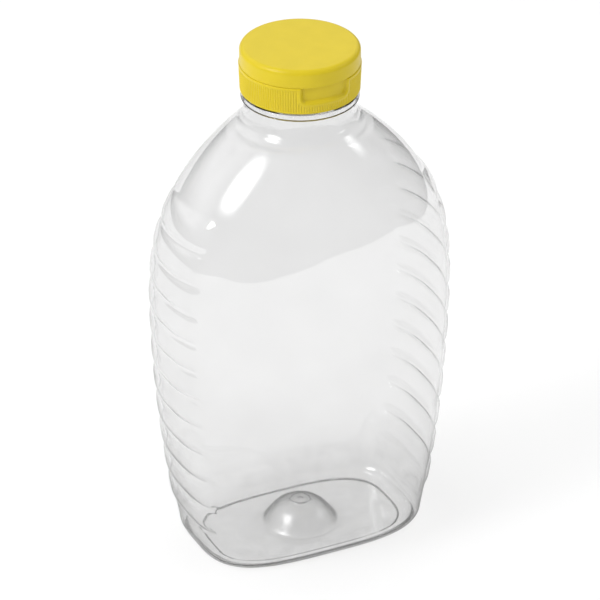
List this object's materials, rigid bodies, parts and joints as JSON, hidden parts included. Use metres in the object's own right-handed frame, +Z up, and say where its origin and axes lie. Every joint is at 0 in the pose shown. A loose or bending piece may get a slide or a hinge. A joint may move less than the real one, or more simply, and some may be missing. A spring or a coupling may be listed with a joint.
{
  "type": "plastic honey bottle",
  "caption": "Clear oval plastic squeeze bottle with ribbed side grips, a pushed-up base and a yellow flip-top screw cap whose lid hinges open at the back.",
  "frame": {"origin": "centre of the standing ring, on the surface the bottle stands on", "axes": "+Z up along the neck; X across the broad label panels, with a grip on each side; -Y is the front, where the lid's thumb recess is; the lid's hinge is at +Y"},
  "size_m": [0.1044, 0.073, 0.1864],
  "materials": {
    "clear_plastic": "clear colourless blown plastic, glossy, with slight waviness",
    "yellow_plastic": "opaque yellow moulded plastic, satin"
  },
  "bodies": {
    "bottle_body": {"bottle": "clear_plastic", "cap_base": "yellow_plastic"},
    "lid": {"cap_lid": "yellow_plastic"}
  },
  "joints": [
    {"name": "lid_hinge", "type": "hinge", "parent": "bottle_body", "child": "lid", "pos_m": [0, 0.0215, 0.18015], "axis": [-1, 0, 0], "range_deg": [0, 120]}
  ]
}
